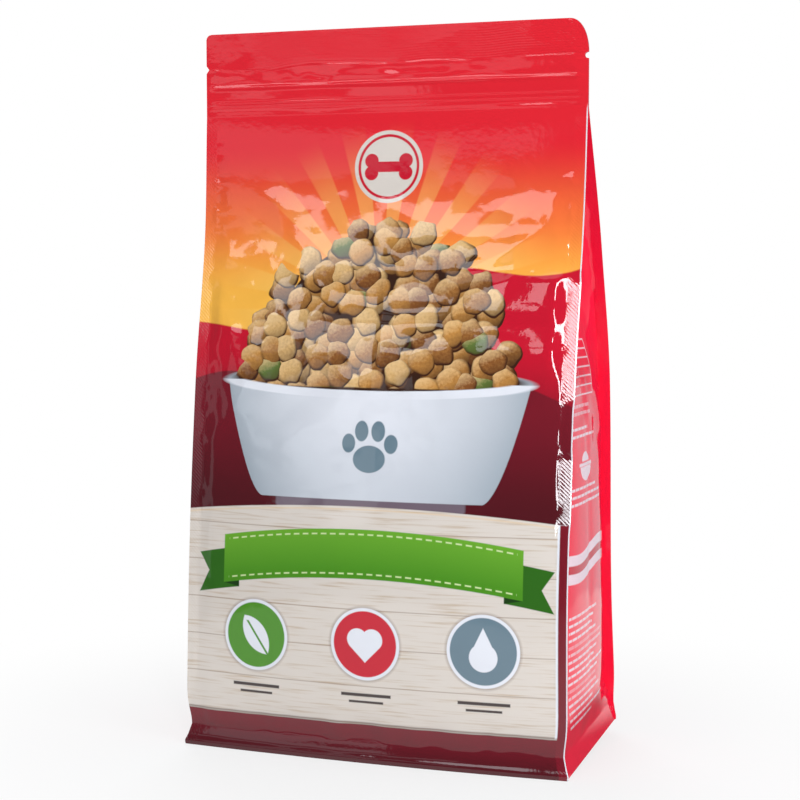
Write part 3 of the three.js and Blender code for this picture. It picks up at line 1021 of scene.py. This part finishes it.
def floor():
    mesh = bpy.data.meshes.new("studio_floor")
    angles = np.linspace(0, 2 * math.pi, TABLE_SIDES + 1)[:-1]
    ring = [(TABLE_RADIUS * math.cos(a), TABLE_RADIUS * math.sin(a), 0) for a in angles]
    mesh.from_pydata(ring, [], [tuple(range(TABLE_SIDES))])
    obj = bpy.data.objects.new("studio_floor", mesh)
    scene.collection.objects.link(obj)
    material = bpy.data.materials.new("white_table")
    material.use_nodes = True
    table = Nodes(material.node_tree)
    table.tree.nodes.clear()
    seen = table.node("ShaderNodeLightPath", {}, "Is Camera Ray")
    glossy = table.node("ShaderNodeLightPath", {}, "Is Glossy Ray")
    through_glass = table.node("ShaderNodeLightPath", {}, "Is Transmission Ray")
    place = table.node("ShaderNodeTexCoord", {}, "Object")
    away = table.vector("LENGTH", place)
    behind = table.node("ShaderNodeSeparateXYZ", {}, "Y", Vector=place).ramp(-0.05, -0.03)
    mirrored = (glossy + through_glass).clamp()
    # Painted shadow: in reflections the table's white emission is darkened to 0.1 close to the pouch's sides
    # and back
    painted_shadow_tone = table.mix((1.0, 1.0, 1.0), (0.1, 0.1, 0.1), mirrored * away.ramp(0.2, 0.13) * behind)
    matte = table.node("ShaderNodeBsdfDiffuse", {}, Color=(0.8, 0.8, 0.8))
    white = table.node("ShaderNodeEmission", {}, Color=painted_shadow_tone, Strength=1.0)
    share = (seen * (away.ramp(0.02, 0.34) * 0.3 + 0.7) + mirrored).clamp()
    both = table.node("ShaderNodeMixShader", {}, _0=share, _1=matte, _2=white)
    table.node("ShaderNodeOutputMaterial", {}, "all", Surface=both)
    mesh.materials.append(material)


floor()
print("floor ready")


# %% Room
def room():
    scene.world = bpy.data.worlds.new("studio")
    scene.world.use_nodes = True
    world = Nodes(scene.world.node_tree)
    world.tree.nodes.clear()
    seen = world.node("ShaderNodeLightPath", {}, "Is Camera Ray")
    way = world.node("ShaderNodeTexCoord", {}, "Generated")
    _, y, z = world.node("ShaderNodeSeparateXYZ", {}, "all", Vector=way)
    below = z.ramp(0.05, -0.03, "LINEAR", **{"To Min": 0.06, "To Max": 0.55})
    glow = y.ramp(-0.2, 0.5, "LINEAR") * below + 0.2
    soft = world.node("ShaderNodeBackground", {}, Color=(0.93, 0.96, 1.0), Strength=glow)
    white = world.node("ShaderNodeBackground", {}, Color=(1.0, 1.0, 1.0), Strength=1.0)
    both = world.node("ShaderNodeMixShader", {}, _0=seen, _1=soft, _2=white)
    world.node("ShaderNodeOutputWorld", {}, "all", Surface=both)


room()
print("room ready")

# %% [markdown]
# ## Soft boxes
# Glossy film is mostly what it mirrors, so the place and size of each box matter more than its strength. A
# box is given by its bearing from the pouch, its size, and the radiance that a mirror would show. The scrim
# veils the shoulder, two dim cards veil the header, the key lights the right fin, and the rest fill in.

# %% Soft boxes
AIM = Vector((0, 0, 0.18))
BOXES = [
    # name, azimuth, elevation, distance, wide, tall, radiance
    ("scrim", -20, 27.4, 1.6, 0.72, 0.31, 3.2),
    ("card", -27, 5.5, 1.6, 0.5, 0.2, 0.8),
    ("seal_card", -26, 14.8, 1.6, 0.75, 0.13, 0.6),
    ("strip_left", -52, 4, 1.6, 0.16, 0.8, 0.45),
    ("key_right", 29, 11, 1.5, 0.17, 0.69, 21.0),
    ("side_right", 66, 22, 1.6, 0.7, 1.0, 4.0),
    ("overhead", 5, 58, 1.5, 1.2, 0.8, 1.0),
    ("rear", 205, 38, 1.6, 0.9, 0.7, 5.0),
]


def bearing(azimuth, elevation):
    """Unit vector to a bearing in degrees, counted from the front round to the right."""
    a, e = math.radians(azimuth), math.radians(elevation)
    return Vector((math.sin(a) * math.cos(e), -math.cos(a) * math.cos(e), math.sin(e)))


for name, azimuth, elevation, distance, wide, tall, radiance in BOXES:
    light = bpy.data.lights.new(name, "AREA")
    light.shape, light.size, light.size_y = "RECTANGLE", wide, tall
    light.energy = 4 * wide * tall * radiance
    light.color = (0.94, 0.96, 1.0)
    box = bpy.data.objects.new(name, light)
    scene.collection.objects.link(box)
    way = bearing(azimuth, elevation)
    box.location = AIM + way * distance
    box.rotation_euler = way.to_track_quat("Z", "Y").to_euler()
print(len(BOXES), "soft boxes")

# %% [markdown]
# ## Camera
# The viewpoint was found from the pouch's corners in the picture: about 20 degrees round to the right, a
# little above, with a moderately long lens.

# %% Camera
TARGET, DISTANCE, FOCAL_PIXELS, PICTURE, SENSOR = Vector((-0.0022, 0, 0.17539)), 0.9231, 1800.1, 800, 36.0
lens = bpy.data.cameras.new("camera")
lens.sensor_width, lens.lens, lens.clip_start = SENSOR, FOCAL_PIXELS / PICTURE * SENSOR, 0.01
camera = bpy.data.objects.new("camera", lens)
scene.collection.objects.link(camera)
back = bearing(19.845, 4.307)
camera.location = TARGET + back * DISTANCE
camera.rotation_euler = (-back).to_track_quat("-Z", "Y").to_euler()
scene.camera = camera
print("camera at", tuple(round(c, 3) for c in camera.location))
